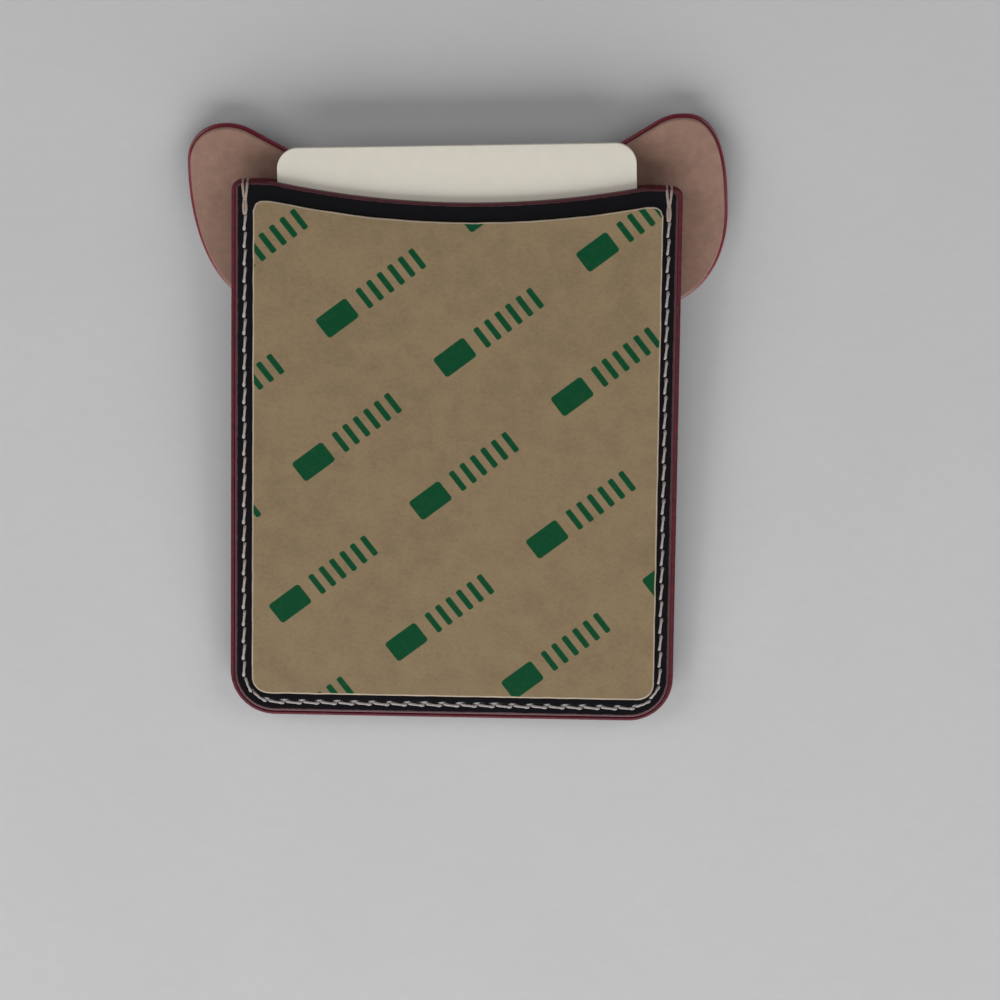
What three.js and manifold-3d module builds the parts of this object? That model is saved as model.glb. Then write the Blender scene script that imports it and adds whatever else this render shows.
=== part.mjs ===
// A stick-on card pocket for the back of a phone, lying on its face with the adhesive side up.
// Two patent panels are sewn round three sides and hold a card. A flat bow is strapped to the
// hidden front, and its two loops show past the top corners. Lengths are in millimetres, +Z is up.
import * as THREE from 'three';
import { mergeVertices } from 'three/addons/utils/BufferGeometryUtils.js';
import Module from 'manifold-3d';

// The card and how it stands in the pocket
const CARD_W = 54.0;
const CARD_L = 85.6;
const CARD_T = 0.76;
const CARD_R = 3.18;
const CARD_LEAN = THREE.MathUtils.degToRad(1.9);
const CARD_OFFSET = -0.23;
const CARD_SHOWS = 8.65;
const CARD_ROOM = 0.2;
const CARD_PLAY = 0.1;

// The two panels
const PANEL_T = 1.1;
const SIDE_ROOM = 4.85;
const SEAM_INSET = 2.05;
const CARD_TO_SEAM = 0.8;
const LOW_RADIUS = 6.8;
const TOP_RADIUS = 1.4;
const MOUTH_DIP = 2.85;
const SHOULDER_W = 5.9;
const DISH_FOOT = 0.45;
const DISH_SLOPE = 0.8;
const PAINT_W = 0.5;

// The adhesive pad and its paper liner
const PAD_T = 0.35;
const LINER_T = 0.15;
const LINER_SIDE = 3.1;
const LINER_LOW = 3.6;
const LINER_TOP = 2.7;
const LINER_LOW_RADIUS = 2.6;
const LINER_TOP_RADIUS = 1.5;
const LINER_SHIFT = 0.2;
const PAD_SETBACK = 0.15;

// The seam and its locked ends
const STITCH_PITCH = 2.7;
const THREAD_D = 0.44;
const THREAD_DEPTH = 0.18;
const GROOVE_W = 0.76;
const GROOVE_DEPTH = 0.46;
const TACK_LENGTH = 4.9;
const TACK_W = 0.9;
const TACK_T = 0.4;

// The bow: each loop is given from the middle of the waist
const BOW_BELOW_MOUTH = 7.9;
const BOW_TURN = THREE.MathUtils.degToRad(2.2);
const BOW_RISE = 1.0;
const BOW_SLOPE = 0.583;
const WAIST_H = 9.2;
const WAIST_BLEND = 1.6;
const LEFT_LOOP = { topX: 34.3, topY: 19.8, tipX: 40.4, tipY: 13.7, lowX: 29.0, lowY: -8.0, round: 2.2 };
const RIGHT_LOOP = { topX: 34.1, topY: 19.8, tipX: 41.0, tipY: 5.5, lowX: 29.0, lowY: -9.8, round: 2.7 };
const LOW_ROUND = 2.15;
const BOW_FACE_T = 1.0;
const BOW_LINING_T = 0.8;
const BOW_EDGE = 0.5;
const BOW_DROOP = 0.6;
const FOLD_DEPTH = 0.55;
const FOLD_START = 4.0;
const FOLD_LENGTH = 20.0;
const KNOT_W = 12.0;
const KNOT_T = 0.8;
const KNOT_PLAY = 0.2;
const KNOT_ROUND = 0.7;

// Gaps left by the glue lines, so that no two pieces share space
const GLUE = 0.1;
const BOW_GAP = 0.15;
const BOW_LAYER_GAP = 0.25;

// Fineness of the curves
const CORNER_STEPS = 10;
const STEPS_PER_STITCH = 3;
const BOW_COLUMNS = 36;
const BOW_ROWS = 10;
const TIP_SHARE = 0.97;

// Places worked out from the sizes above. The pocket's own frame has its origin in the middle of
// the bottom edge, +Y towards the mouth and +Z towards the adhesive side.
const PANEL_W = CARD_W + 2 * (SIDE_ROOM + SEAM_INSET);
const CARD_LOW = SEAM_INSET + CARD_TO_SEAM;
const CARD_RISE = (CARD_L - CARD_R) * Math.cos(CARD_LEAN)
  + (CARD_W / 2 - CARD_R) * Math.sin(CARD_LEAN) + CARD_R;
const CARD_TOP = CARD_LOW + CARD_RISE;
const CARD_REACH = Math.abs(CARD_OFFSET) + (CARD_L - CARD_R) * Math.sin(CARD_LEAN)
  + (CARD_W / 2 - CARD_R) * Math.cos(CARD_LEAN) + CARD_R;
const MOUTH_Y = CARD_TOP - CARD_SHOWS;
const SHOULDER_Y = MOUTH_Y + MOUTH_DIP;
const MOUTH_HALF = PANEL_W / 2 - SHOULDER_W;
const MOUTH_RADIUS = (MOUTH_HALF ** 2 + MOUTH_DIP ** 2) / (2 * MOUTH_DIP);
const SEAM_X = PANEL_W / 2 - SEAM_INSET;
const PANEL_INSET = PAINT_W + GLUE;

const BACK_IN = GLUE / 2;
const BACK_OUT = BACK_IN + PANEL_T;
const PAD_BASE = BACK_OUT + GLUE;
const LINER_BASE = PAD_BASE + PAD_T + GLUE;
const FRONT_IN = -GLUE / 2;
const FRONT_OUT = FRONT_IN - PANEL_T;
const CARD_BACK = BACK_IN - CARD_PLAY;
const CAVITY_FLOOR = CARD_BACK - CARD_T - CARD_PLAY;
const DISH_OUT = CAVITY_FLOOR - PANEL_T;

const STRAP_BACK = DISH_OUT - GLUE;
const STRAP_INNER_BACK = STRAP_BACK - KNOT_T;
const LINING_BACK = STRAP_INNER_BACK - BOW_GAP;
const LINING_FRONT = LINING_BACK - BOW_LINING_T;
const FACE_BACK = LINING_FRONT - BOW_LAYER_GAP;
const FACE_FRONT = FACE_BACK - BOW_FACE_T;
const STRAP_INNER_FRONT = FACE_FRONT - BOW_GAP;
const STRAP_FRONT = STRAP_INNER_FRONT - KNOT_T;
const BOW_Y = MOUTH_Y - BOW_BELOW_MOUTH;

const wasm = await Module();
wasm.setup();

// Turns a closed three.js geometry into a solid that can be cut or joined
function toSolid(geometry) {
  const plain = geometry.clone();
  plain.deleteAttribute('normal');
  plain.deleteAttribute('uv');
  const merged = mergeVertices(plain, 1e-4);
  const mesh = new wasm.Mesh({
    numProp: 3,
    vertProperties: new Float32Array(merged.attributes.position.array),
    triVerts: new Uint32Array(merged.index.array),
  });
  return new wasm.Manifold(mesh);
}

// Turns a cut or joined solid back into a three.js geometry
function toGeometry(solid) {
  const mesh = solid.getMesh();
  const geometry = new THREE.BufferGeometry();
  geometry.setAttribute('position', new THREE.BufferAttribute(new Float32Array(mesh.vertProperties), 3));
  geometry.setIndex(new THREE.BufferAttribute(new Uint32Array(mesh.triVerts), 1));
  geometry.computeVertexNormals();
  return geometry;
}

// A flat plate of the given outline between two heights, with its rims eased by bevel
function plate(outline, low, high, bevel = 0) {
  const geometry = new THREE.ExtrudeGeometry(outline, {
    depth: high - low - 2 * bevel,
    curveSegments: CORNER_STEPS,
    bevelEnabled: bevel > 0,
    bevelThickness: bevel,
    bevelSize: bevel,
    bevelOffset: -bevel,
    bevelSegments: 1,
  });
  geometry.translate(0, 0, low + bevel);
  return geometry;
}

// Outline with round lower corners, level shoulders and a hollow mouth between them
function pocketOutline({ half, low, shoulder, lowRadius, topRadius, mouthRadius }) {
  const centreY = shoulder - MOUTH_DIP + mouthRadius;
  const spread = Math.acos((mouthRadius - MOUTH_DIP) / mouthRadius);
  const down = -Math.PI / 2;
  const outline = new THREE.Shape();
  outline.moveTo(-half + lowRadius, low);
  outline.lineTo(half - lowRadius, low);
  outline.absarc(half - lowRadius, low + lowRadius, lowRadius, down, 0, false);
  outline.lineTo(half, shoulder - topRadius);
  outline.absarc(half - topRadius, shoulder - topRadius, topRadius, 0, Math.PI / 2, false);
  outline.absarc(0, centreY, mouthRadius, down + spread, down - spread, true);
  outline.lineTo(-half + topRadius, shoulder);
  outline.absarc(-half + topRadius, shoulder - topRadius, topRadius, Math.PI / 2, Math.PI, false);
  outline.lineTo(-half, low + lowRadius);
  outline.absarc(-half + lowRadius, low + lowRadius, lowRadius, Math.PI, 1.5 * Math.PI, false);
  return outline;
}

function panelOutline() {
  return pocketOutline({
    half: PANEL_W / 2 - PANEL_INSET,
    low: PANEL_INSET,
    shoulder: SHOULDER_Y,
    lowRadius: LOW_RADIUS - PANEL_INSET,
    topRadius: TOP_RADIUS,
    mouthRadius: MOUTH_RADIUS,
  });
}

function linerOutline(setback) {
  return pocketOutline({
    half: PANEL_W / 2 - LINER_SIDE - setback,
    low: LINER_LOW + setback,
    shoulder: SHOULDER_Y - LINER_TOP - setback,
    lowRadius: LINER_LOW_RADIUS,
    topRadius: LINER_TOP_RADIUS,
    mouthRadius: MOUTH_RADIUS + LINER_TOP + setback,
  });
}

// Upright rectangle with round lower corners, open to the mouth and past it
function slotOutline(half, low, radius) {
  const top = SHOULDER_Y + CARD_SHOWS;
  const outline = new THREE.Shape();
  outline.moveTo(-half + radius, low);
  outline.lineTo(half - radius, low);
  outline.absarc(half - radius, low + radius, radius, -Math.PI / 2, 0, false);
  outline.lineTo(half, top);
  outline.lineTo(-half, top);
  outline.lineTo(-half, low + radius);
  outline.absarc(-half + radius, low + radius, radius, Math.PI, 1.5 * Math.PI, false);
  return outline;
}

// Band that runs down one side, along the bottom and up the other, between two insets
function sideBand(outerInset, innerInset, top) {
  const cornerX = PANEL_W / 2 - LOW_RADIUS;
  const outerX = PANEL_W / 2 - outerInset;
  const innerX = PANEL_W / 2 - innerInset;
  const outerR = LOW_RADIUS - outerInset;
  const innerR = LOW_RADIUS - innerInset;
  const down = -Math.PI / 2;
  const band = new THREE.Shape();
  band.moveTo(-outerX, top);
  band.lineTo(-outerX, LOW_RADIUS);
  band.absarc(-cornerX, LOW_RADIUS, outerR, Math.PI, 1.5 * Math.PI, false);
  band.lineTo(cornerX, outerInset);
  band.absarc(cornerX, LOW_RADIUS, outerR, down, 0, false);
  band.lineTo(outerX, top);
  band.lineTo(innerX, top);
  band.lineTo(innerX, LOW_RADIUS);
  band.absarc(cornerX, LOW_RADIUS, innerR, 0, down, true);
  band.lineTo(-cornerX, innerInset);
  band.absarc(-cornerX, LOW_RADIUS, innerR, 1.5 * Math.PI, Math.PI, true);
  band.lineTo(-innerX, top);
  return band;
}

// The sunk line that the thread lies in, from the mouth round to the mouth
function seamGroove(low, high) {
  const half = GROOVE_W / 2;
  return toSolid(plate(sideBand(SEAM_INSET - half, SEAM_INSET + half, SHOULDER_Y + 1), low, high));
}

function backPanel() {
  const panel = toSolid(plate(panelOutline(), BACK_IN, BACK_OUT, 0.15));
  return toGeometry(panel.subtract(seamGroove(BACK_OUT - GROOVE_DEPTH, BACK_OUT + 1)));
}

// The front panel is dished outwards over the card, and the dish runs out at the mouth
function frontPanel() {
  const margin = toSolid(plate(panelOutline(), FRONT_OUT, FRONT_IN, 0.15));
  const column = toSolid(plate(panelOutline(), DISH_OUT - 1, FRONT_IN));
  const dishDepth = FRONT_OUT - DISH_OUT;
  const footRadius = LOW_RADIUS - SEAM_INSET - DISH_FOOT;
  const dish = new THREE.ExtrudeGeometry(slotOutline(SEAM_X - DISH_FOOT, SEAM_INSET + DISH_FOOT, footRadius), {
    depth: PANEL_T / 2,
    curveSegments: CORNER_STEPS,
    bevelThickness: dishDepth,
    bevelSize: DISH_SLOPE,
    bevelOffset: -DISH_SLOPE,
    bevelSegments: 3,
  });
  dish.translate(0, 0, DISH_OUT + dishDepth);
  const low = CARD_LOW - CARD_ROOM;
  const cavity = toSolid(plate(slotOutline(CARD_REACH + CARD_ROOM, low, CARD_R + CARD_ROOM), CAVITY_FLOOR, 1));
  const groove = seamGroove(FRONT_OUT - 1, FRONT_OUT + GROOVE_DEPTH);
  const whole = margin.add(toSolid(dish).intersect(column));
  return toGeometry(whole.subtract(cavity).subtract(groove));
}

function paintedEdge() {
  return plate(sideBand(0, PAINT_W, SHOULDER_Y - TOP_RADIUS / 2), FRONT_OUT, BACK_OUT, 0.12);
}

function insertCard() {
  const half = CARD_W / 2;
  const outline = new THREE.Shape();
  outline.moveTo(-half + CARD_R, -CARD_L);
  outline.lineTo(half - CARD_R, -CARD_L);
  outline.absarc(half - CARD_R, -CARD_L + CARD_R, CARD_R, -Math.PI / 2, 0, false);
  outline.lineTo(half, -CARD_R);
  outline.absarc(half - CARD_R, -CARD_R, CARD_R, 0, Math.PI / 2, false);
  outline.lineTo(-half + CARD_R, 0);
  outline.absarc(-half + CARD_R, -CARD_R, CARD_R, Math.PI / 2, Math.PI, false);
  outline.lineTo(-half, -CARD_L + CARD_R);
  outline.absarc(-half + CARD_R, -CARD_L + CARD_R, CARD_R, Math.PI, 1.5 * Math.PI, false);
  return plate(outline, CARD_BACK - CARD_T, CARD_BACK);
}

// The seam's line in plan, from the left locked end down and round to the right one
function seamLine() {
  const top = SHOULDER_Y - TACK_LENGTH;
  const radius = LOW_RADIUS - SEAM_INSET;
  const cornerX = PANEL_W / 2 - LOW_RADIUS;
  const line = new THREE.Path();
  line.moveTo(-SEAM_X, top);
  line.lineTo(-SEAM_X, LOW_RADIUS);
  line.absarc(-cornerX, LOW_RADIUS, radius, Math.PI, 1.5 * Math.PI, false);
  line.lineTo(cornerX, SEAM_INSET);
  line.absarc(cornerX, LOW_RADIUS, radius, -Math.PI / 2, 0, false);
  line.lineTo(SEAM_X, top);
  return line;
}

// The thread dips into the leather between stitches and lies level along each one
class StitchCurve extends THREE.Curve {
  constructor(surface, outward) {
    super();
    this.line = seamLine();
    this.count = Math.round(this.line.getLength() / STITCH_PITCH);
    this.surface = surface;
    this.outward = outward;
  }

  getPoint(t, target = new THREE.Vector3()) {
    const point = this.line.getPointAt(Math.min(Math.max(t, 0), 1));
    const along = 0.5 - 0.5 * Math.cos(2 * Math.PI * t * this.count);
    const sink = THREAD_DEPTH * (1 - along);
    return target.set(point.x, point.y, this.surface - this.outward * sink);
  }

  getPointAt(t, target) {
    return this.getPoint(t, target);
  }
}

function seamThread(surface, outward) {
  const path = new StitchCurve(surface, outward);
  const half = THREAD_D / 2;
  const section = new THREE.Shape();
  section.moveTo(-half, 0);
  section.lineTo(0, -half);
  section.lineTo(half, 0);
  section.lineTo(0, half);
  return new THREE.ExtrudeGeometry(section, {
    steps: path.count * STEPS_PER_STITCH,
    extrudePath: path,
    bevelEnabled: false,
  });
}

// Locked end of the seam: doubled thread that wraps the mouth from face to face
function backTack(x) {
  const foot = SHOULDER_Y - TACK_LENGTH;
  const crown = SHOULDER_Y + GLUE;
  const back = BACK_OUT + GLUE;
  const front = FRONT_OUT - GLUE;
  const profile = new THREE.Shape();
  profile.moveTo(foot, back);
  profile.lineTo(foot, back + TACK_T);
  profile.lineTo(crown, back + TACK_T);
  profile.absarc(crown, back, TACK_T, Math.PI / 2, 0, true);
  profile.lineTo(crown + TACK_T, front);
  profile.absarc(crown, front, TACK_T, 0, -Math.PI / 2, true);
  profile.lineTo(foot, front - TACK_T);
  profile.lineTo(foot, front);
  profile.lineTo(crown, front);
  profile.lineTo(crown, back);
  const geometry = new THREE.ExtrudeGeometry(profile, { depth: TACK_W, curveSegments: 4, bevelEnabled: false });
  geometry.applyMatrix4(acrossMatrix(x - TACK_W / 2));
  return geometry;
}

// Stands a profile drawn in y and z on end, so that it is drawn out along x from a given place
function acrossMatrix(x) {
  const matrix = new THREE.Matrix4().makeBasis(
    new THREE.Vector3(0, 1, 0), new THREE.Vector3(0, 0, 1), new THREE.Vector3(1, 0, 0));
  return matrix.setPosition(x, 0, 0);
}

// Height of a line that turns from one slope to another at a corner, eased over a half-width
function easedCorner(x, corner, before, after, ease) {
  const offset = x - corner.x;
  const turned = Math.max(offset + ease, 0);
  const curve = offset < ease ? turned ** 2 / (4 * ease) : offset;
  return corner.y + before * offset + (after - before) * curve;
}

function smooth(value) {
  return THREE.MathUtils.smoothstep(value, 0, 1);
}

// Height above or below the tip on a rounded end that runs from a level edge out to the tip
function roundedEnd(x, levelX, tipX, power) {
  const share = Math.min((x - levelX) / (tipX - levelX), 1);
  return (1 - share ** power) ** (1 / power);
}

// Upper and lower edge of one loop at a distance x from the waist, drawn in by inset
function loopEdges(loop, x, inset) {
  const rise = BOW_RISE - inset * Math.hypot(1, BOW_SLOPE);
  const topY = loop.topY - inset;
  const lowY = loop.lowY + inset;
  const tipX = loop.tipX - inset;
  const waist = WAIST_H / 2 - inset;
  const waistEnd = (waist - rise) / BOW_SLOPE;
  const shoulderX = (topY - rise) / BOW_SLOPE;
  let upper;
  if (x > loop.topX) {
    upper = loop.tipY + (topY - loop.tipY) * roundedEnd(x, loop.topX, tipX, loop.round);
  } else if (x > (waistEnd + shoulderX) / 2) {
    upper = easedCorner(x, { x: shoulderX, y: topY }, BOW_SLOPE, 0, loop.topX - shoulderX);
  } else {
    upper = easedCorner(x, { x: waistEnd, y: waist }, 0, BOW_SLOPE, WAIST_BLEND);
  }
  let lower;
  if (x > loop.lowX) {
    lower = loop.tipY + (lowY - loop.tipY) * roundedEnd(x, loop.lowX, tipX, LOW_ROUND);
  } else {
    lower = THREE.MathUtils.lerp(-waist, lowY, smooth((x - waistEnd) / (loop.lowX - waistEnd)));
  }
  return { upper, lower };
}

// Soft pleats that run out of the strap, and the slight droop of the loops
function bowDepth(loop, x, y) {
  const { upper, lower } = loopEdges(loop, x, 0);
  const across = (2 * y - upper - lower) / (upper - lower);
  const fromKnot = Math.max(x - KNOT_W / 2, 0);
  const strength = smooth(fromKnot / FOLD_START) * (1 - smooth(fromKnot / FOLD_LENGTH));
  const fold = FOLD_DEPTH * strength * Math.cos(1.5 * Math.PI * across);
  const droop = BOW_DROOP * (fromKnot / (loop.tipX - KNOT_W / 2)) ** 2;
  return -fold - droop;
}

// One layer of the bow: a fine grid shaped to both loops
function bowLayer(inset, low, high) {
  const geometry = new THREE.BoxGeometry(2, 2, 1, BOW_COLUMNS, BOW_ROWS, 1);
  const position = geometry.attributes.position;
  for (let i = 0; i < position.count; i += 1) {
    const side = Math.sign(position.getX(i)) || 1;
    const loop = side < 0 ? LEFT_LOOP : RIGHT_LOOP;
    const share = Math.sin(Math.abs(position.getX(i)) * TIP_SHARE * Math.PI / 2);
    const x = (loop.tipX - inset) * share;
    const { upper, lower } = loopEdges(loop, x, inset);
    const y = THREE.MathUtils.lerp(lower, upper, (position.getY(i) + 1) / 2);
    const z = position.getZ(i) > 0 ? high : low;
    position.setXYZ(i, side * x, y, z + bowDepth(loop, x, y));
  }
  geometry.computeVertexNormals();
  return geometry;
}

// The strap's loop round the waist, which also carries the bow on the front panel
function bowKnot() {
  const waistTop = loopEdges(LEFT_LOOP, KNOT_W / 2, 0);
  const waistTopRight = loopEdges(RIGHT_LOOP, KNOT_W / 2, 0);
  const top = Math.max(waistTop.upper, waistTopRight.upper) + KNOT_PLAY;
  const low = Math.min(waistTop.lower, waistTopRight.lower) - KNOT_PLAY;
  const profile = new THREE.Shape();
  const right = top + KNOT_T - KNOT_ROUND;
  const left = low - KNOT_T + KNOT_ROUND;
  profile.moveTo(left, STRAP_FRONT);
  profile.lineTo(right, STRAP_FRONT);
  profile.absarc(right, STRAP_FRONT + KNOT_ROUND, KNOT_ROUND, -Math.PI / 2, 0, false);
  profile.lineTo(top + KNOT_T, STRAP_BACK - KNOT_ROUND);
  profile.absarc(right, STRAP_BACK - KNOT_ROUND, KNOT_ROUND, 0, Math.PI / 2, false);
  profile.lineTo(left, STRAP_BACK);
  profile.absarc(left, STRAP_BACK - KNOT_ROUND, KNOT_ROUND, Math.PI / 2, Math.PI, false);
  profile.lineTo(low - KNOT_T, STRAP_FRONT + KNOT_ROUND);
  profile.absarc(left, STRAP_FRONT + KNOT_ROUND, KNOT_ROUND, Math.PI, 1.5 * Math.PI, false);
  const opening = new THREE.Path();
  opening.moveTo(low, STRAP_INNER_BACK);
  opening.lineTo(top, STRAP_INNER_BACK);
  opening.lineTo(top, STRAP_INNER_FRONT);
  opening.lineTo(low, STRAP_INNER_FRONT);
  profile.holes.push(opening);
  const geometry = new THREE.ExtrudeGeometry(profile, { depth: KNOT_W, curveSegments: 5, bevelEnabled: false });
  geometry.applyMatrix4(acrossMatrix(-KNOT_W / 2));
  return geometry;
}

const patent = new THREE.MeshStandardMaterial({ color: 0x0f0f13, roughness: 0.12, metalness: 0 });
const crimson = new THREE.MeshStandardMaterial({ color: 0x6a1426, roughness: 0.25, metalness: 0 });
const paint = new THREE.MeshStandardMaterial({ color: 0x5e1822, roughness: 0.35, metalness: 0 });
const dustyPink = new THREE.MeshStandardMaterial({ color: 0x866a5e, roughness: 0.85, metalness: 0 });
const thread = new THREE.MeshStandardMaterial({ color: 0xc9c2bd, roughness: 0.7, metalness: 0 });
const cream = new THREE.MeshStandardMaterial({ color: 0xd0cdbd, roughness: 0.6, metalness: 0 });
const kraft = new THREE.MeshStandardMaterial({ color: 0x8f7e62, roughness: 0.75, metalness: 0 });
const adhesive = new THREE.MeshStandardMaterial({ color: 0xd8d4c8, roughness: 0.5, metalness: 0 });

function part(name, geometry, material) {
  const mesh = new THREE.Mesh(geometry, material);
  mesh.name = name;
  return mesh;
}

function padPart(name, setback, low, high, material) {
  const mesh = part(name, plate(linerOutline(setback), low, high), material);
  mesh.position.x = LINER_SHIFT;
  return mesh;
}

const card = part('insert_card', insertCard(), cream);
card.position.set(CARD_OFFSET, CARD_TOP, 0);
card.rotation.z = CARD_LEAN;

const bow = new THREE.Group();
bow.position.y = BOW_Y;
bow.rotation.z = BOW_TURN;
bow.add(part('bow_lining', bowLayer(BOW_EDGE, LINING_FRONT, LINING_BACK), dustyPink));
bow.add(part('bow_face', bowLayer(0, FACE_FRONT, FACE_BACK), crimson));
bow.add(part('bow_knot', bowKnot(), crimson));

const pocket = new THREE.Group();
pocket.add(padPart('release_liner', 0, LINER_BASE, LINER_BASE + LINER_T, kraft));
pocket.add(padPart('adhesive_pad', PAD_SETBACK, PAD_BASE, PAD_BASE + PAD_T, adhesive));
pocket.add(part('back_panel', backPanel(), patent));
pocket.add(part('painted_edge', paintedEdge(), paint));
pocket.add(card);
pocket.add(part('front_panel', frontPanel(), patent));
pocket.add(part('seam_thread_back', seamThread(BACK_OUT, 1), thread));
pocket.add(part('seam_thread_front', seamThread(FRONT_OUT, -1), thread));
pocket.add(part('back_tack_left', backTack(-SEAM_X), thread));
pocket.add(part('back_tack_right', backTack(SEAM_X), thread));
pocket.add(bow);

// Face down, the holder lies on the dish's low edge and on the strap, so its mouth end is raised
const dishLow = SEAM_INSET + DISH_FOOT + DISH_SLOPE;
const strapLow = BOW_Y - WAIST_H / 2;
pocket.rotation.x = Math.atan((DISH_OUT - STRAP_FRONT) / (strapLow - dishLow));

// The origin is under the middle of the whole, on the surface it lies on
const holder = new THREE.Group();
holder.add(pocket);
holder.updateMatrixWorld(true);
const extent = new THREE.Box3().setFromObject(holder, true);
const middle = extent.getCenter(new THREE.Vector3());
pocket.position.set(-middle.x, -middle.y, -extent.min.z);
holder.updateMatrixWorld(true);

export default holder;
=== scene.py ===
"""Looks for a stick-on card pocket that lies on its face, adhesive side up.

Two patent panels with painted edges are sewn round three sides and hold a card. A kraft liner
covers the adhesive, and a flat lined bow is strapped to the hidden front. Pieces are modelled in
the pocket's own frame in millimetres: origin in the middle of the bottom edge, +Y towards the
mouth, +Z towards the adhesive side. LAID then lays them where the CAD model lies, in metres.
"""
from math import atan2, ceil, cos, exp, hypot, pi, radians, sin, sqrt

import bmesh
import bpy
from bpy.props import FloatProperty, FloatVectorProperty, PointerProperty
from mathutils import Matrix, Vector, noise


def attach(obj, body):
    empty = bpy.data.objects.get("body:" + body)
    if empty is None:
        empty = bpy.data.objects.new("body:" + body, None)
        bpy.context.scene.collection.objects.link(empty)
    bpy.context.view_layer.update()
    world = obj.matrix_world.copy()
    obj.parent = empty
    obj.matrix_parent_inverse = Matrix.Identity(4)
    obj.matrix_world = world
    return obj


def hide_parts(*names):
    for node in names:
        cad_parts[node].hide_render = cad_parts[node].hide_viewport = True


bl_info = {
    "name": "Stick-on card pocket",
    "version": (1, 0, 0),
    "blender": (4, 5, 0),
    "location": "View3D > Sidebar > Card pocket",
    "description": "Models a sewn patent card pocket with its liner, card and bow",
    "category": "Add Mesh",
}

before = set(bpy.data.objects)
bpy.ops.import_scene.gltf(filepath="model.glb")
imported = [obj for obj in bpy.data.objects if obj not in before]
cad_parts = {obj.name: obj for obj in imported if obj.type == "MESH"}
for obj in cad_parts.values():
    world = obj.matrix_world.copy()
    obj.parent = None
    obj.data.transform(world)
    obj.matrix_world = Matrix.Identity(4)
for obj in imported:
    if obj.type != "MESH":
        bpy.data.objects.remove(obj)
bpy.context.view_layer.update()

MM = 0.001
REST_TILT = radians(3.57939523)
REST_PLACE = Vector((0.0556722, -46.9258699, 1.8329383))
LAID = Matrix.Scale(MM, 4) @ Matrix.Translation(REST_PLACE) @ Matrix.Rotation(REST_TILT, 4, "X")
NEAR = 1e-3
MERGE = 1e-4
SHEET_MERGE = 1e-2

# Clearances between the panels' middle and their inside, and between pieces that lie on others.
PANEL_GAP = 0.05
LAYER_GAP = 0.1
STRAP_GAP = 0.15
BOW_GAP = 0.25


def linear(code, alpha=1.0):
    """Turn an sRGB hex value such as 6a1426 into the linear colour that shaders take."""
    shares = [int(code[i:i + 2], 16) / 255 for i in (0, 2, 4)]
    return (*[c / 12.92 if c <= 0.04045 else ((c + 0.055) / 1.055) ** 2.4 for c in shares], alpha)


def length(name, millimetres, description):
    """A length that the sidebar shows in Blender's units."""
    return FloatProperty(name=name, description=description, default=millimetres * MM,
                         min=0, unit="LENGTH", precision=5)


def colour(name, code, description):
    """A colour that starts from an sRGB hex value."""
    return FloatVectorProperty(name=name, description=description, default=linear(code),
                               subtype="COLOR", size=4, min=0, max=1)


class POCKET_PG_panels(bpy.types.PropertyGroup):
    """Sizes of the two panels, their seam and painted edge."""
    panel_w: length("Width", 67.8, "Width over the painted edges")
    shoulder_y: length("Height", 83.394, "Height from the bottom edge to the shoulders")
    panel_t: length("Panel thickness", 1.1, "Thickness of each panel")
    panel_inset: length("Edge inset", 0.6, "From the outermost edge to the leather")
    low_radius: length("Lower corners", 6.8, "Radius of the lower corners")
    top_radius: length("Upper corners", 1.4, "Radius of the upper corners")
    mouth_dip: length("Mouth dip", 2.85, "Depth of the hollow in the mouth")
    shoulder_w: length("Shoulders", 5.9, "Level stretch on each side of the hollow")
    dish_foot: length("Dish foot", 0.45, "From the seam to the foot of the dished front")
    dish_slope: length("Dish slope", 0.8, "Width of the slope up to the dish")
    dish_depth: length("Dish depth", 0.86, "How far the front panel is dished")
    paint_w: length("Paint width", 0.5, "Width of the painted edge seen from above")
    seam_inset: length("Seam inset", 2.05, "From the outermost edge to the seam")
    stitch_pitch: length("Stitch pitch", 2.7, "Length of one stitch")
    thread_d: length("Thread", 0.4, "Diameter of the thread")
    tack_length: length("Locked end", 4.9, "Length of the doubled stitches at the mouth")


class POCKET_PG_card(bpy.types.PropertyGroup):
    """Sizes of the card, the adhesive pad and its liner."""
    card_w: length("Card width", 54.0, "Short side of the card")
    card_l: length("Card length", 85.6, "Long side of the card")
    card_t: length("Card thickness", 0.76, "Thickness of the card")
    card_r: length("Card corners", 3.18, "Radius of the card's corners")
    card_top: length("Card top", 89.19, "Height of the middle of its top edge")
    card_lean: FloatProperty(name="Card lean", description="How far the card leans in the pocket",
                             default=radians(1.9), subtype="ANGLE")
    liner_side: length("Liner side", 3.1, "From the outermost edge to the liner")
    liner_low: length("Liner foot", 3.6, "From the bottom edge to the liner")
    liner_top: length("Liner top", 2.7, "From the mouth to the liner")
    liner_t: length("Liner thickness", 0.15, "Thickness of the paper")
    pad_t: length("Pad thickness", 0.35, "Thickness of the adhesive")


class POCKET_PG_bow(bpy.types.PropertyGroup):
    """Sizes of the flat bow and its strap."""
    bow_y: length("Place", 72.64, "Height of the middle of the bow")
    bow_turn: FloatProperty(name="Turn", description="How far the bow is turned on the pocket",
                            default=radians(2.2), subtype="ANGLE")
    waist_h: length("Waist", 9.2, "Height of the bow under its strap")
    face_t: length("Face thickness", 1.0, "Thickness of the bow's outer leather")
    lining_t: length("Lining thickness", 0.8, "Thickness of the bow's lining")
    bow_edge: length("Rim", 0.5, "How far the outer leather shows past the lining")
    fold_depth: length("Pleats", 0.55, "Depth of the pleats beside the strap")
    knot_w: length("Strap width", 12.0, "Width of the strap round the waist")
    knot_t: length("Strap thickness", 0.8, "Thickness of the strap")


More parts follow.
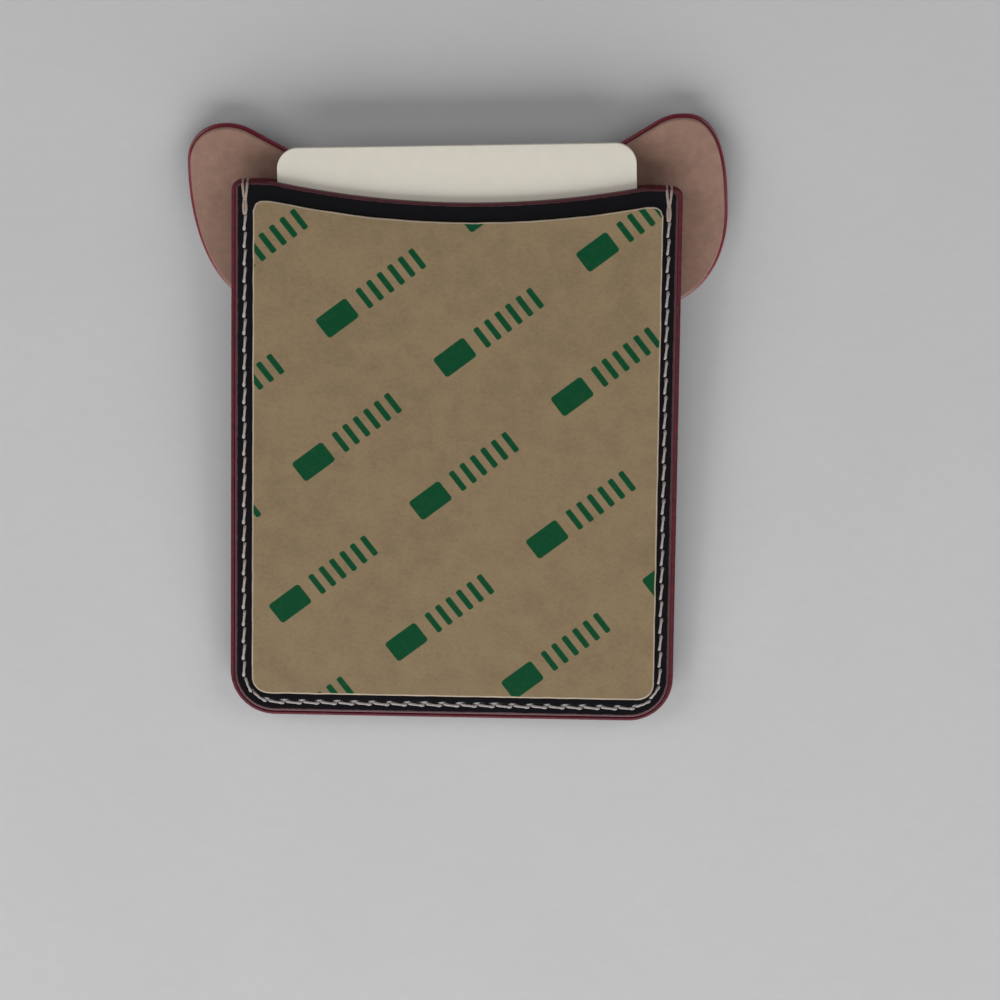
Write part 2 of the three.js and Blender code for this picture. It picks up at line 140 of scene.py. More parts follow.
class POCKET_PG_finish(bpy.types.PropertyGroup):
    """Colours of the holder and of the ground it lies on."""
    patent: colour("Patent leather", "070609", "Lacquered leather of both panels")
    paint: colour("Edge paint", "460816", "Paint on the cut edges of the panels")
    crimson: colour("Bow face", "6e1022", "Lacquered leather of the bow")
    lining: colour("Bow lining", "856657", "Suede-like lining of the bow")
    kraft: colour("Kraft liner", "74644c", "Waxed paper over the adhesive")
    # Lighter than the kraft: bare paper on the cut edge, painted lighter as a highlight along the
    # rim.
    cut: colour("Liner edge", "9c8d7c", "Bare paper where the liner is cut")
    ink: colour("Print", "013c21", "Plain marks printed on the paper")
    card: colour("Card", "c8c3b6", "Blank plastic card")
    thread: colour("Thread", "968d8a", "Waxed sewing thread")
    # A darker, pinker tint of the same thread, used on the locked ends.
    tack_tint: colour("Locked end thread", "8e7a70", "The same thread where the mouth soils it")
    adhesive: colour("Adhesive", "cfc8b8", "Foam tape under the liner")
    ground: colour("Ground", "acacad", "Surface that the holder lies on")


class Plan:
    """All sizes in millimetres, and the places worked out from them."""

    def __init__(self, scene):
        for group in (scene.pocket_panels, scene.pocket_card, scene.pocket_bow):
            for name, prop in group.bl_rna.properties.items():
                if name not in ("rna_type", "name"):
                    scale = 1 / MM if prop.unit == "LENGTH" else 1
                    setattr(self, name, getattr(group, name) * scale)
        self.half = self.panel_w / 2
        self.corner_x = self.half - self.low_radius
        self.mouth_half = self.half - self.shoulder_w
        self.mouth_radius = (self.mouth_half ** 2 + self.mouth_dip ** 2) / (2 * self.mouth_dip)
        self.back_in = PANEL_GAP
        self.back_out = self.back_in + self.panel_t
        self.pad_base = self.back_out + LAYER_GAP
        self.liner_base = self.pad_base + self.pad_t + LAYER_GAP
        self.front_out = -self.back_out
        self.strap_back = self.front_out - self.dish_depth - LAYER_GAP
        self.lining_back = self.strap_back - self.knot_t - STRAP_GAP
        self.face_back = self.lining_back - self.lining_t - BOW_GAP
        self.strap_front = self.face_back - self.face_t - STRAP_GAP - self.knot_t
        self.seam_top = self.shoulder_y - self.tack_length
        self.side_run = self.seam_top - self.low_radius
        self.corner_run = (self.low_radius - self.seam_inset) * pi / 2
        self.seam_length = 2 * (self.side_run + self.corner_run + self.corner_x)
        self.stitches = round(self.seam_length / self.stitch_pitch)
        self.pitch = self.seam_length / self.stitches

    def inset(self, x, y):
        """How far a point lies in from the outermost edge of the sides and bottom."""
        if y < self.low_radius and abs(x) > self.corner_x:
            return self.low_radius - hypot(abs(x) - self.corner_x, self.low_radius - y)
        return min(self.half - abs(x), y)

    def run(self, x, y):
        """How far along the seam the nearest point of it lies, from its left end."""
        if y < self.low_radius and abs(x) <= self.corner_x:
            return self.side_run + self.corner_run + self.corner_x + x
        if y >= self.low_radius:
            run = self.seam_top - y
        else:
            turned = atan2(self.low_radius - y, abs(x) - self.corner_x)
            run = self.side_run + (self.low_radius - self.seam_inset) * turned
        return run if x < 0 else self.seam_length - run

    def seam_point(self, run):
        """Point of the seam at a run along it, and the direction it heads in."""
        mirrored = run > self.seam_length / 2
        near = self.seam_length - run if mirrored else run
        radius = self.low_radius - self.seam_inset
        if near < self.side_run:
            point = Vector((-self.half + self.seam_inset, self.seam_top - near, 0))
            heading = -pi / 2
        elif near < self.side_run + self.corner_run:
            turned = (near - self.side_run) / radius
            point = Vector((-self.corner_x - radius * cos(turned),
                            self.low_radius - radius * sin(turned), 0))
            heading = turned - pi / 2
        else:
            along = near - self.side_run - self.corner_run
            point = Vector((along - self.corner_x, self.seam_inset, 0))
            heading = 0
        if mirrored:
            point.x, heading = -point.x, -heading
        return point, heading

    def top_line(self, x, half, shoulder, radius, round_radius):
        """Height of an outline's mouth end at x: eased corner, level shoulder, then the hollow."""
        x = abs(x)
        flat = sqrt(2 * radius * self.mouth_dip - self.mouth_dip ** 2)
        if x < flat:
            return shoulder - self.mouth_dip + radius - sqrt(radius ** 2 - x ** 2)
        past = max(x - half + round_radius, 0)
        return shoulder - round_radius + sqrt(max(round_radius ** 2 - past ** 2, 0))


def smooth(value):
    """Ease from 0 to 1 as a value goes from 0 to 1."""
    value = min(max(value, 0), 1)
    return value * value * (3 - 2 * value)


def bell(value, width):
    """One at zero, falling off to nothing over a width or two."""
    return exp(-(value / width) ** 2)


def mesh_object(name, bm, materials, replaced):
    """Finish a bmesh as a piece: laid in the CAD model's place, riding on its body."""
    bmesh.ops.remove_doubles(bm, verts=bm.verts, dist=MERGE)
    bmesh.ops.recalc_face_normals(bm, faces=bm.faces)
    bmesh.ops.transform(bm, matrix=LAID, verts=bm.verts)
    for face in bm.faces:
        face.smooth = True
    mesh = bpy.data.meshes.new(name)
    bm.to_mesh(mesh)
    bm.free()
    for material in materials:
        mesh.materials.append(material)
    piece = bpy.data.objects.new(name, mesh)
    bpy.context.scene.collection.objects.link(piece)
    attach(piece, "root")
    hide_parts(replaced)


def drawn_out(bm, geom):
    """Double faces, with walls between the two layers, and return the new layer's vertices."""
    drawn = bmesh.ops.extrude_face_region(bm, geom=geom, use_keep_orig=True)
    return [item for item in drawn["geom"] if isinstance(item, bmesh.types.BMVert)]


def rounded(bm, geom, offset, segments, affect="EDGES", material=-1):
    """Round edges or corners off."""
    bmesh.ops.bevel(bm, geom=geom, offset=offset, offset_type="OFFSET", affect=affect,
                    segments=segments, profile=0.5, material=material)


def sweep(bm, row, step=(0, 0, 0), steps=1, turn=0.0, centre=(0, 0, 0)):
    """Draw a row of edges out in steps, straight or round a centre, and return its last place."""
    points = list(dict.fromkeys(vert for edge in row for vert in edge.verts))
    swept = bmesh.ops.spin(bm, geom=points + row, cent=centre, axis=(0, 0, 1), dvec=step,
                           angle=turn, steps=steps, use_merge=False, use_duplicate=False)
    return [item for item in swept["geom_last"] if isinstance(item, bmesh.types.BMEdge)]


def chain(bm, points):
    """Edges through a row of points."""
    verts = [bm.verts.new(point) for point in points]
    return [bm.edges.new(pair) for pair in zip(verts, verts[1:])]


CORNER_STEPS = 14


def sweep_border(bm, plan, row, fineness, top):
    """Draw a row across the left border down that side, along the bottom and up the other."""
    side = top - plan.low_radius
    side_steps = round(side / fineness)
    bottom_steps = round(2 * plan.corner_x / fineness)
    row = sweep(bm, row, (0, -side / side_steps, 0), side_steps)
    row = sweep(bm, row, steps=CORNER_STEPS, turn=pi / 2,
                centre=(-plan.corner_x, plan.low_radius, 0))
    row = sweep(bm, row, (2 * plan.corner_x / bottom_steps, 0, 0), bottom_steps)
    row = sweep(bm, row, steps=CORNER_STEPS, turn=pi / 2,
                centre=(plan.corner_x, plan.low_radius, 0))
    return sweep(bm, row, (0, side / side_steps, 0), side_steps)


# The grid of a panel: its columns from the edge inwards, and its rows at the mouth.
BORDER_COLUMNS = (0.6, 0.63, 0.7, 0.8, 0.95, 1.15, 1.35, 1.5, 1.62, 1.74, 1.86, 1.96, 2.05, 2.14,
                  2.24, 2.36, 2.5, 2.65, 2.85, 3.1, 3.3, 3.6, 4.4, 6.0)
BORDER_STEP = 0.415
MOUTH_ROWS = 14
MOUTH_REACH = 8.0
CROWD_REACH = 2.2
CROWD_POWER = 1.8

# How the lacquered face departs from flat: its rim, the seam, uneven spots, dents and creases.
RIM_ROUND = 0.2
GROOVE_DEEP = 0.03
GROOVE_WIDE = 0.42
HOLE_DEEP = 0.06
HOLE_WIDE = 0.34
HOLES_PAST = 0.5
SWELL_HIGH = 0.01
SWELL_OFF = 0.8
SWELL_WIDE = 0.35
UNEVEN_HIGH = 0.035
UNEVEN_SIZE = 5
DENT_DEEP = 0.14
DENT_WIDE = 1.1
DENT_IN = 1.6
DENT_DOWN = 1.9
CREASE_DEEP = 0.05
CREASED_HALF = 9
CREASE_FROM_RIM = 0.4
# Share of the depth, ripples per millimetre times 2 pi, start, middle and width of each train.
CREASES = ((1.0, 3.1, 4.65, -1.6, 1.5), (0.6, 1.7, 1.0, 1.0, 5.0))


def panel_sheet(plan):
    """A flat panel as a grid: fine along the border and the mouth, one face in the middle."""
    bm = bmesh.new()
    start = [(-plan.half + inset, plan.shoulder_y, 0) for inset in BORDER_COLUMNS]
    sweep_border(bm, plan, chain(bm, start), BORDER_STEP, plan.shoulder_y)
    inner_x = plan.half - BORDER_COLUMNS[-1]
    bm.edges.ensure_lookup_table()
    row = [edge for edge in bm.edges
           if all(abs(v.co.x + inner_x) < NEAR for v in edge.verts)
           and min(v.co.y for v in edge.verts) > plan.shoulder_y - (MOUTH_ROWS + 0.5) * BORDER_STEP]
    steps = round(2 * inner_x / BORDER_STEP)
    sweep(bm, row, (2 * inner_x / steps, 0, 0), steps)
    bmesh.ops.remove_doubles(bm, verts=bm.verts, dist=SHEET_MERGE)
    hole = [edge for edge in bm.edges if edge.is_boundary
            and all(plan.inset(*v.co.xy) > BORDER_COLUMNS[-1] - 0.01
                    and v.co.y < plan.shoulder_y - 1 for v in edge.verts)]
    bmesh.ops.holes_fill(bm, edges=hole, sides=0)
    return bm


def dish(plan, inset):
    """How far the front panel stands out over the card, at an inset from the edge."""
    return plan.dish_depth * smooth((inset - plan.seam_inset - plan.dish_foot) / plan.dish_slope)


def leather_fall(plan, x, y, inset, rim, side):
    """How far the lacquered face falls below flat: eased rim, sunk seam, needle holes, creases."""
    fall = 0.0
    if rim < RIM_ROUND:
        fall += RIM_ROUND - sqrt(RIM_ROUND ** 2 - (RIM_ROUND - rim) ** 2)
    off_seam = inset - plan.seam_inset
    fall += GROOVE_DEEP * bell(off_seam, GROOVE_WIDE)
    if y < plan.seam_top + HOLES_PAST:
        hole = (0.5 + 0.5 * cos(2 * pi * plan.run(x, y) / plan.pitch)) ** 3
        fall += HOLE_DEEP * hole * bell(off_seam, HOLE_WIDE)
        fall -= SWELL_HIGH * (1 - hole) * bell(abs(off_seam) - SWELL_OFF, SWELL_WIDE)
    fall -= UNEVEN_HIGH * noise.noise(Vector((x, y, 3)) / UNEVEN_SIZE)
    if side > 0 and y > plan.shoulder_y - MOUTH_REACH:
        from_dent = hypot(abs(x) - plan.mouth_half - DENT_IN, y - plan.shoulder_y + DENT_DOWN)
        fall += DENT_DEEP * bell(from_dent, DENT_WIDE)
    if abs(x) < CREASED_HALF and y > plan.shoulder_y - MOUTH_REACH:
        wave = sum(share * sin(x * rate + start) * bell(x - middle, width)
                   for share, rate, start, middle, width in CREASES)
        fall += CREASE_DEEP * wave * smooth(rim / CREASE_FROM_RIM)
    return fall


def panel(plan, side):
    """The back panel, side 1, or the dished front one, side -1, with its thickness."""
    bm = panel_sheet(plan)
    rims = bm.verts.layers.float.new("rim")
    outer = set(drawn_out(bm, bm.faces[:] + bm.edges[:] + bm.verts[:]))
    half = plan.half - plan.panel_inset
    for vert in bm.verts:
        x, y, _ = vert.co
        top = plan.top_line(x, half, plan.shoulder_y, plan.mouth_radius, plan.top_radius)
        gap = max(plan.shoulder_y - y, 0)
        hollow = (plan.shoulder_y - top) * (1 - smooth(gap / MOUTH_REACH))
        if gap < CROWD_REACH:
            gap = CROWD_REACH * (gap / CROWD_REACH) ** CROWD_POWER
        vert.co.y = plan.shoulder_y - gap - hollow
        inset = plan.inset(x, y)
        rim = min(inset - plan.panel_inset, top - vert.co.y)
        raised = dish(plan, inset) if side < 0 else 0.0
        if vert in outer:
            fall = leather_fall(plan, x, y, inset, max(rim, 0), side)
            vert.co.z = side * (plan.back_out - fall + raised)
            vert[rims] = max(rim, 0)
        else:
            vert.co.z = side * (plan.back_in + raised)
            vert[rims] = 0.0
    return bm


def rounded_face(bm, corners, radii, segments=10):
    """A face through four corners, the first of them rounded to the radii given."""
    verts = [bm.verts.new((x, y, 0)) for x, y in corners]
    bm.faces.new(verts)
    for vert, radius in zip(verts, radii):
        rounded(bm, [vert], radius, segments, "VERTICES")


LINER_TOP_RADIUS = 1.5
LINER_LOW_RADIUS = 2.6
LINER_STEP = 0.35
LINER_OFF = 0.2
LINER_UNEVEN = 0.06
LINER_UNEVEN_SIZE = 2.2
LINER_SEED = 1


def liner_sheet(plan, setback, low, high, ease):
    """The liner's or the pad's outline, subdivided along its edges and given its thickness."""
    bm = bmesh.new()
    half = plan.half - plan.liner_side - setback
    foot = plan.liner_low + setback
    shoulder = plan.shoulder_y - plan.liner_top - setback
    side_top = shoulder - LINER_TOP_RADIUS
    rounded_face(bm, [(-half, foot), (half, foot), (half, side_top), (-half, side_top)],
                 (LINER_LOW_RADIUS, LINER_LOW_RADIUS))
    for edge in sorted(bm.edges, key=lambda e: -e.calc_length())[:4]:
        bmesh.ops.subdivide_edges(bm, edges=[edge], cuts=ceil(edge.calc_length() / LINER_STEP))
    # Without a seed, noise_vector gives other values in each run.
    noise.seed_set(LINER_SEED)
    for vert in bm.verts:
        x, y, _ = vert.co
        if y > side_top - NEAR:
            radius = plan.mouth_radius + plan.liner_top + setback
            vert.co.y = plan.top_line(x, half, shoulder, radius, LINER_TOP_RADIUS)
        if setback == 0:
            uneven = noise.noise_vector(Vector((x, y, 0)) / LINER_UNEVEN_SIZE)
            vert.co += LINER_UNEVEN * uneven.xy.to_3d()
    bmesh.ops.translate(bm, verts=drawn_out(bm, bm.faces[:]), vec=(0, 0, high - low))
    bmesh.ops.recalc_face_normals(bm, faces=bm.faces)
    top = [face for face in bm.faces if all(v.co.z > high - low - NEAR for v in face.verts)]
    bmesh.ops.inset_region(bm, faces=top, thickness=ease, use_even_offset=True)
    bmesh.ops.translate(bm, verts=bm.verts, vec=(LINER_OFF, 0, low))
    return bm


THREAD_SIDES = 8
PLY_GROOVE = 0.2


def rope(bm, points, radius, ups, twist):
    """Two-ply thread along points: a ring with a groove for each ply, turned at each step."""
    ring = bmesh.ops.create_circle(bm, segments=THREAD_SIDES, radius=1.0)["verts"]
    shape = [vert.co.copy() for vert in ring]
    edges = list(dict.fromkeys(edge for vert in ring for edge in vert.link_edges))
    bmesh.ops.contextual_create(bm, geom=edges)
    travelled = 0.0
    for i, point in enumerate(points):
        ahead = points[min(i + 1, len(points) - 1)] - points[max(i - 1, 0)]
        side = ahead.cross(ups[i]).normalized()
        up = side.cross(ahead).normalized()
        if i:
            travelled += (point - points[i - 1]).length
            grown = bmesh.ops.extrude_edge_only(bm, edges=edges)["geom"]
            fresh = {item for item in grown if isinstance(item, bmesh.types.BMVert)}
            edges = [item for item in grown if isinstance(item, bmesh.types.BMEdge)
                     and all(v in fresh for v in item.verts)]
            ring = [next(v for v in (e.other_vert(old) for e in old.link_edges) if v in fresh)
                    for old in ring]
        for vert, co in zip(ring, shape):
            angle = atan2(co.y, co.x)
            swell = radius[i] * (1 - PLY_GROOVE + PLY_GROOVE * abs(cos(angle + twist * travelled)))
            vert.co = point + side * cos(angle) * swell + up * sin(angle) * swell
    bmesh.ops.contextual_create(bm, geom=edges)


STITCH_ENDS = (0.05, 0.95)
STITCH_SLANT = 0.13
STITCH_VARY = (0.03, 0.06)
STITCH_RISE = 0.42
STITCH_TWIST = 2.6
# Share of a stitch's length, how deep it lies there, and how thick it is.
STITCH_PATH = ((0, 0.5, 1.0), (0.05, 0.25, 1.25), (0.15, 0.06, 1.3), (0.32, 0.0, 1.0),
               (0.5, -0.02, 0.92), (0.68, 0.0, 1.0), (0.85, 0.06, 1.3), (0.95, 0.25, 1.25),
               (1, 0.5, 1.0))


def stitch(bm, plan, number, side):
    """One stitch: it rises out of a hole, lies slanted and plump, and dives into the next."""
    offset = noise.noise(Vector((number * 7.3, side * 5, 1)))
    middle, heading = plan.seam_point((number + 0.5) * plan.pitch)
    start, end = [plan.seam_point((number + share) * plan.pitch)[0] for share in STITCH_ENDS]
    across = Vector((-sin(heading), cos(heading), 0))
    slant = STITCH_SLANT + STITCH_VARY[0] * offset
    level = plan.back_out - GROOVE_DEEP + plan.thread_d * STITCH_RISE
    points, radii = [], []
    for share, sunk, thick in STITCH_PATH:
        point = start.lerp(end, share)
        if share == 0.5:
            point = middle.lerp(point, 0.5)
        point = point + across * slant * (1 - 2 * share) * side
        points.append(point + Vector((0, 0, side * (level - sunk))))
        radii.append(plan.thread_d / 2 * thick * (1 + STITCH_VARY[1] * offset))
    rope(bm, points, radii, [Vector((0, 0, side))] * len(points), STITCH_TWIST)


def seam(plan, side):
    """All stitches of one face of the seam."""
    bm = bmesh.new()
    for number in range(plan.stitches):
        stitch(bm, plan, number, side)
    return bm


TACK_SUNK = 0.12
TACK_RISE = 0.45
TACK_THICK = 0.52
TACK_TWIST = 2.0
TACK_PAST = 0.03
TACK_LEVELS = (0.4, -0.4)
# From the last hole, then from the mouth edge: how far up, how high, and how far from the middle.
TACK_FOOT = ((-0.15, -0.45, 0.05), (0.05, 0.0, 0.12), (0.5, 0.12, 0.19), (1.2, 0.16, 0.2),
             (1.9, 0.12, 0.17), (2.35, -0.02, 0.09), (2.8, 0.1, 0.16), (3.5, 0.14, 0.25))
TACK_CROWN = ((-0.7, 0.1, 0.31), (-0.3, 0.0, 0.34), (-0.08, -0.25, 0.35))


def tack(plan, side_x):
    """Locked end: two strands from the last hole over the mouth edge, pinched in the middle."""
    bm = bmesh.new()
    seam_x = side_x * (plan.half - plan.seam_inset)
    level = plan.back_out - TACK_SUNK + plan.thread_d * TACK_RISE
    path = [(plan.seam_top + up, rise, gap) for up, rise, gap in TACK_FOOT]
    path += [(plan.shoulder_y + up, rise, gap) for up, rise, gap in TACK_CROWN]
    flat = len(path) - 2
    ups = [Vector((0, 0, 1))] * flat + [Vector((0, 1, 0))] * 6 + [Vector((0, 0, -1))] * flat
    for strand in (-1, 1):
        points = [Vector((seam_x + strand * gap, y, level + rise)) for y, rise, gap in path]
        under = [Vector((p.x, p.y, -p.z)) for p in reversed(points)]
        points += [Vector((points[-1].x, plan.shoulder_y + TACK_PAST, z)) for z in TACK_LEVELS]
        points += under
        rope(bm, points, [plan.thread_d * TACK_THICK] * len(points), ups, TACK_TWIST)
    return bm


SKIN_SHARE = 0.12
BEAD_PROUD = 0.01
BEAD_STEP = 0.9
BEAD_END = 0.5
BEAD_END_STEPS = 6
BEAD_CORNER_STEPS = 8
BEAD_CLOSING = 1.2


def edge_bead(plan):
    """Painted edge: a bead over both panels' cut edges, with a faint line where they meet."""
    bm = bmesh.new()
    top = plan.back_out + BEAD_PROUD
    profile = [(plan.paint_w + 0.07, top - 0.16), (plan.paint_w + 0.02, top - 0.03),
               (plan.paint_w - 0.1, top), (0.26, top - 0.01), (0.14, top - 0.07), (0.05, top - 0.2),
               (0.0, top - 0.42), (0.0, 0.28), (0.03, 0.12), (0.09, 0.03)]
    profile += [(inset, -z) for inset, z in reversed(profile)]
    end_x = plan.mouth_half + BEAD_END
    corner_x = plan.half - plan.panel_inset - plan.top_radius
    corner_y = plan.shoulder_y - plan.top_radius
    end_step = ((end_x - corner_x) / BEAD_END_STEPS, 0, 0)
    start = [(-end_x, plan.shoulder_y + plan.panel_inset - inset, z) for inset, z in profile]
    row = chain(bm, start)
    row.append(bm.edges.new((row[-1].verts[1], row[0].verts[0])))
    bmesh.ops.contextual_create(bm, geom=row)
    row = sweep(bm, row, end_step, BEAD_END_STEPS)
    row = sweep(bm, row, steps=BEAD_CORNER_STEPS, turn=pi / 2, centre=(-corner_x, corner_y, 0))
    row = sweep_border(bm, plan, row, BEAD_STEP, corner_y)
    row = sweep(bm, row, steps=BEAD_CORNER_STEPS, turn=pi / 2, centre=(corner_x, corner_y, 0))
    row = sweep(bm, row, end_step, BEAD_END_STEPS)
    bmesh.ops.contextual_create(bm, geom=row)
    for vert in bm.verts:
        x, y, _ = vert.co
        past = abs(x) - corner_x
        if y > corner_y and past > 0:
            away = Vector((past, y - corner_y))
            climbed = smooth(atan2(away.y, away.x) / (pi / 2))
            outside = away.length - plan.top_radius
            if outside > 0:
                outside *= 1 - climbed * (1 - SKIN_SHARE)
                away *= (plan.top_radius + outside) / away.length
                vert.co.x = (corner_x + away.x) * (1 if x > 0 else -1)
                vert.co.y = corner_y + away.y
        elif y > plan.shoulder_y:
            closed = smooth((abs(x) - end_x) / BEAD_CLOSING)
            vert.co.y = plan.shoulder_y + (y - plan.shoulder_y) * SKIN_SHARE * closed
    return bm


CARD_OFF = -0.23
CARD_EASE = 0.1
CARD_CORNER_STEPS = 16


def insert_card(plan):
    """Blank card: rounded corners, eased rims, and a lighter copy of its plastic on the cut edge as
    a painted highlight.
    """
    bm = bmesh.new()
    half = plan.card_w / 2
    rounded_face(bm, [(-half, -plan.card_l), (half, -plan.card_l), (half, 0), (-half, 0)],
                 [plan.card_r] * 4, CARD_CORNER_STEPS)
    bmesh.ops.translate(bm, verts=drawn_out(bm, bm.faces[:]), vec=(0, 0, plan.card_t))
    bmesh.ops.recalc_face_normals(bm, faces=bm.faces)
    # Edge faces take a lighter copy of the plastic: painted highlight along the card's rim.
    for face in bm.faces:
        face.material_index = 0 if abs(face.normal.z) > 0.5 else 1
    rims = [edge for edge in bm.edges
            if len({face.material_index for face in edge.link_faces}) == 2]
    rounded(bm, rims, CARD_EASE, 3, material=1)
    place = Matrix.Translation((CARD_OFF, plan.card_top, plan.back_in - LAYER_GAP - plan.card_t))
    bmesh.ops.transform(bm, matrix=place @ Matrix.Rotation(plan.card_lean, 4, "Z"), verts=bm.verts)
    return bm


BOW_RISE = 1.0
BOW_SLOPE = 0.583
WAIST_BLEND = 1.6
LOW_ROUND = 2.15
BOW_DROOP = 0.6
FOLD_START = 4.0
FOLD_LENGTH = 20.0
BOW_GRID = (150, 46)
BOW_CROWD = (0.994, 0.97)
LOOPS = {
    -1: {"top_x": 34.3, "top_y": 19.8, "tip_x": 40.4, "tip_y": 13.7, "low_x": 29.0, "low_y": -8.0,
         "round": 2.2},
    1: {"top_x": 34.1, "top_y": 19.8, "tip_x": 41.0, "tip_y": 5.5, "low_x": 29.0, "low_y": -9.8,
        "round": 2.7},
}


def eased_corner(x, corner_x, corner_y, before, after, ease):
    """Height of a line that turns from one slope to another at a corner."""
    offset = x - corner_x
    turned = max(offset + ease, 0)
    curve = turned ** 2 / (4 * ease) if offset < ease else offset
    return corner_y + before * offset + (after - before) * curve


def rounded_end(x, level_x, tip_x, power):
    """Share of a loop's height that is left on its way to the tip."""
    share = min((x - level_x) / (tip_x - level_x), 1)
    return (1 - share ** power) ** (1 / power)


def loop_edges(plan, loop, x, inset):
    """Upper and lower edge of one loop at a distance x from the waist, drawn in by inset."""
    rise = BOW_RISE - inset * hypot(1, BOW_SLOPE)
    top_y = loop["top_y"] - inset
    low_y = loop["low_y"] + inset
    tip_x = loop["tip_x"] - inset
    waist = plan.waist_h / 2 - inset
    waist_end = (waist - rise) / BOW_SLOPE
    shoulder_x = (top_y - rise) / BOW_SLOPE
    if x > loop["top_x"]:
        share = rounded_end(x, loop["top_x"], tip_x, loop["round"])
        upper = loop["tip_y"] + (top_y - loop["tip_y"]) * share
    elif x > (waist_end + shoulder_x) / 2:
        upper = eased_corner(x, shoulder_x, top_y, BOW_SLOPE, 0, loop["top_x"] - shoulder_x)
    else:
        upper = eased_corner(x, waist_end, waist, 0, BOW_SLOPE, WAIST_BLEND)
    if x > loop["low_x"]:
        share = rounded_end(x, loop["low_x"], tip_x, LOW_ROUND)
        lower = loop["tip_y"] + (low_y - loop["tip_y"]) * share
    else:
        lower = -waist + (low_y + waist) * smooth((x - waist_end) / (loop["low_x"] - waist_end))
    return upper, lower


def bow_depth(plan, loop, x, y):
    """Pleats that run out of the strap, and the slight droop of the loops."""
    upper, lower = loop_edges(plan, loop, x, 0)
    across = (2 * y - upper - lower) / (upper - lower)
    from_knot = max(x - plan.knot_w / 2, 0)
    strength = smooth(from_knot / FOLD_START) * (1 - smooth(from_knot / FOLD_LENGTH))
    fold = plan.fold_depth * strength * cos(1.5 * pi * across)
    droop = BOW_DROOP * (from_knot / (loop["tip_x"] - plan.knot_w / 2)) ** 2
    return -fold - droop


def bow_layer(plan, inset, low, high, ease):
    """One leather layer of the bow, shaped to both loops, with eased rims."""
    bm = bmesh.new()
    bmesh.ops.create_grid(bm, x_segments=BOW_GRID[0], y_segments=BOW_GRID[1], size=1.0)
    rims = bm.verts.layers.float.new("rim")
    upper_side = set(drawn_out(bm, bm.faces[:] + bm.edges[:] + bm.verts[:]))
    for vert in bm.verts:
        side = -1 if vert.co.x < 0 else 1
        loop = LOOPS[side]
        x = (loop["tip_x"] - inset) * sin(abs(vert.co.x) * BOW_CROWD[0] * pi / 2)
        level = sin(vert.co.y * pi / 2 * BOW_CROWD[1]) / sin(pi / 2 * BOW_CROWD[1])
        upper, lower = loop_edges(plan, loop, x, inset)
        y = lower + (upper - lower) * (level + 1) / 2
        rim = min(upper - y, y - lower, loop["tip_x"] - inset - x)
        fall = 0.0
        if rim < ease:
            fall = ease - sqrt(ease ** 2 - (ease - max(rim, 0)) ** 2)
        z = high - fall if vert in upper_side else low + fall
        vert.co = Vector((side * x, y, z + bow_depth(plan, loop, x, y)))
        vert[rims] = max(rim, 0)
    turn_bow(bm, plan)
    return bm


def turn_bow(bm, plan):
    """Set the bow on the pocket, turned a little."""
    place = Matrix.Translation((0, plan.bow_y, 0)) @ Matrix.Rotation(plan.bow_turn, 4, "Z")
    bmesh.ops.transform(bm, matrix=place, verts=bm.verts)


STRAP_CLEAR = 0.2
STRAP_BEND = 1.2
STRAP_EASE = 0.2
STRAP_STEPS = 24
SHARP = 1.2


def bow_strap(plan):
    """Strap round the waist: a rounded ring drawn along X, given its thickness and eased rims."""
    bm = bmesh.new()
    half = plan.knot_w / 2
    waist = [loop_edges(plan, loop, half, 0) for loop in LOOPS.values()]
    top = max(upper for upper, _ in waist) + STRAP_CLEAR + plan.knot_t
    low = min(lower for _, lower in waist) - STRAP_CLEAR - plan.knot_t
    front, back = plan.strap_front, plan.strap_back
    corners = [(-half, low, front), (-half, top, front), (-half, top, back), (-half, low, back)]
    verts = [bm.verts.new(corner) for corner in corners]
    for i in range(4):
        bm.edges.new((verts[i - 1], verts[i]))
    rounded(bm, verts, STRAP_BEND, 8, "VERTICES")
    sweep(bm, bm.edges[:], (plan.knot_w / STRAP_STEPS, 0, 0), STRAP_STEPS)
    bmesh.ops.recalc_face_normals(bm, faces=bm.faces)
    bmesh.ops.solidify(bm, geom=bm.faces[:], thickness=plan.knot_t)
    rims = [edge for edge in bm.edges if edge.is_manifold and edge.calc_face_angle(0) > SHARP
            and all(abs(abs(v.co.x) - half) < NEAR for v in edge.verts)]
    rounded(bm, rims, STRAP_EASE, 3)
    turn_bow(bm, plan)
    return bm


def node(tree, kind, inputs, out=0, **settings):
    """Add a shader node with its settings and links, and return one of its outputs.

    Inputs are values or other nodes' outputs, in a row by their order or in a dict by name.
    """
    made = tree.nodes.new("ShaderNode" + kind)
    for name, value in settings.items():
        setattr(made, name, value)
    for name, value in (inputs.items() if isinstance(inputs, dict) else enumerate(inputs)):
        if isinstance(value, bpy.types.NodeSocket):
            tree.links.new(value, made.inputs[name])
        else:
            made.inputs[name].default_value = value
    return made.outputs[out]


def surface(name, inputs, build):
    """A material of one Principled surface, whose varying inputs come from build."""
    material = bpy.data.materials.new(name)
    material.use_nodes = True
    tree = material.node_tree
    tree.nodes.clear()
    shader = node(tree, "BsdfPrincipled", inputs)
    tree.links.new(shader, tree.nodes.new("ShaderNodeOutputMaterial").inputs["Surface"])
    place = node(tree, "TexCoord", {}, "Object")
    for socket, source in build(tree, place).items():
        tree.links.new(source, shader.node.inputs[socket])
    return material


def speckle(tree, place, millimetres, detail=2.0, stretch=(1, 1, 1), turn=0.0):
    """Cloudy noise whose features are about the given size, stretched and turned on demand."""
    scaled = node(tree, "Mapping", {"Vector": place, "Scale": tuple(s / MM for s in stretch),
                                    "Rotation": (0, 0, turn)})
    return node(tree, "TexNoise", {"Vector": scaled, "Scale": 1 / millimetres, "Detail": detail},
                "Fac")


